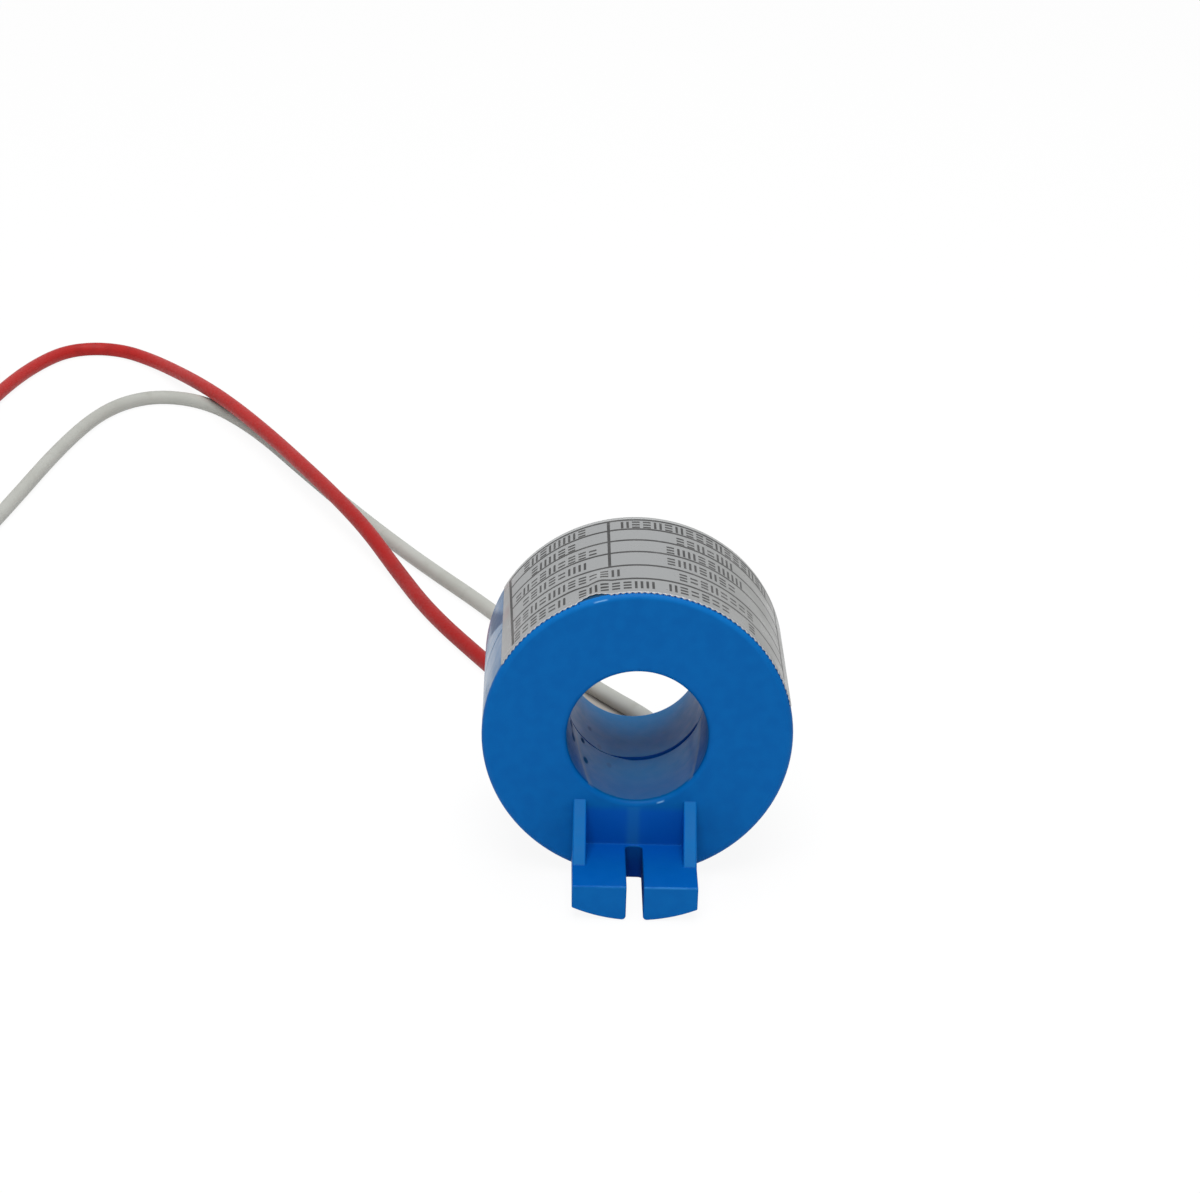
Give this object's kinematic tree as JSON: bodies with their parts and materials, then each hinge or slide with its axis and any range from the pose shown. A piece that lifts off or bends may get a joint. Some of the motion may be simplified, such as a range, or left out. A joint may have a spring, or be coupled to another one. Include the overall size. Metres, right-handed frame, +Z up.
{
  "type": "current transformer",
  "caption": "Ring-shaped window current transformer in a blue moulded case with a slotted foot, a wrap-around rating label and flexible red and white leads with stripped ends.",
  "frame": {"origin": "middle of the bore, on its axis, halfway between the front and rear faces of the case", "axes": "+Y along the bore, from the front face with the foot to the rear face with the leads; +Z up; +X to the right as seen from the front"},
  "size_m": [0.1881, 0.2999, 0.0552],
  "materials": {
    "case_blue": "satin moulded plastic, mid blue",
    "label_film": "satin silver-grey label film",
    "core_steel": "edge of a tightly wound strip",
    "core_case": "natural moulded nylon",
    "enamelled_copper": "enamelled copper wire",
    "wrap_film": "yellow polyester film",
    "solder": "dull solder",
    "sleeve_black": "black shrunk sleeve",
    "red_pvc": "satin red wire insulation",
    "white_pvc": "satin off-white wire insulation",
    "tinned_copper": "tinned stranded copper"
  },
  "bodies": {
    "root": {"front_shell": "case_blue", "rear_shell": "case_blue", "core": "core_steel", "core_case_front": "core_case", "core_case_rear": "core_case", "secondary_winding": "enamelled_copper", "winding_wrap": "wrap_film", "red_joint": "solder", "white_joint": "solder", "red_splice_sleeve": "sleeve_black", "white_splice_sleeve": "sleeve_black", "red_lead_root": "tinned_copper", "white_lead_root": "tinned_copper", "red_lead": "red_pvc", "white_lead": "white_pvc", "red_lead_tip": "tinned_copper", "white_lead_tip": "tinned_copper", "label": "label_film"}
  },
  "joints": []
}
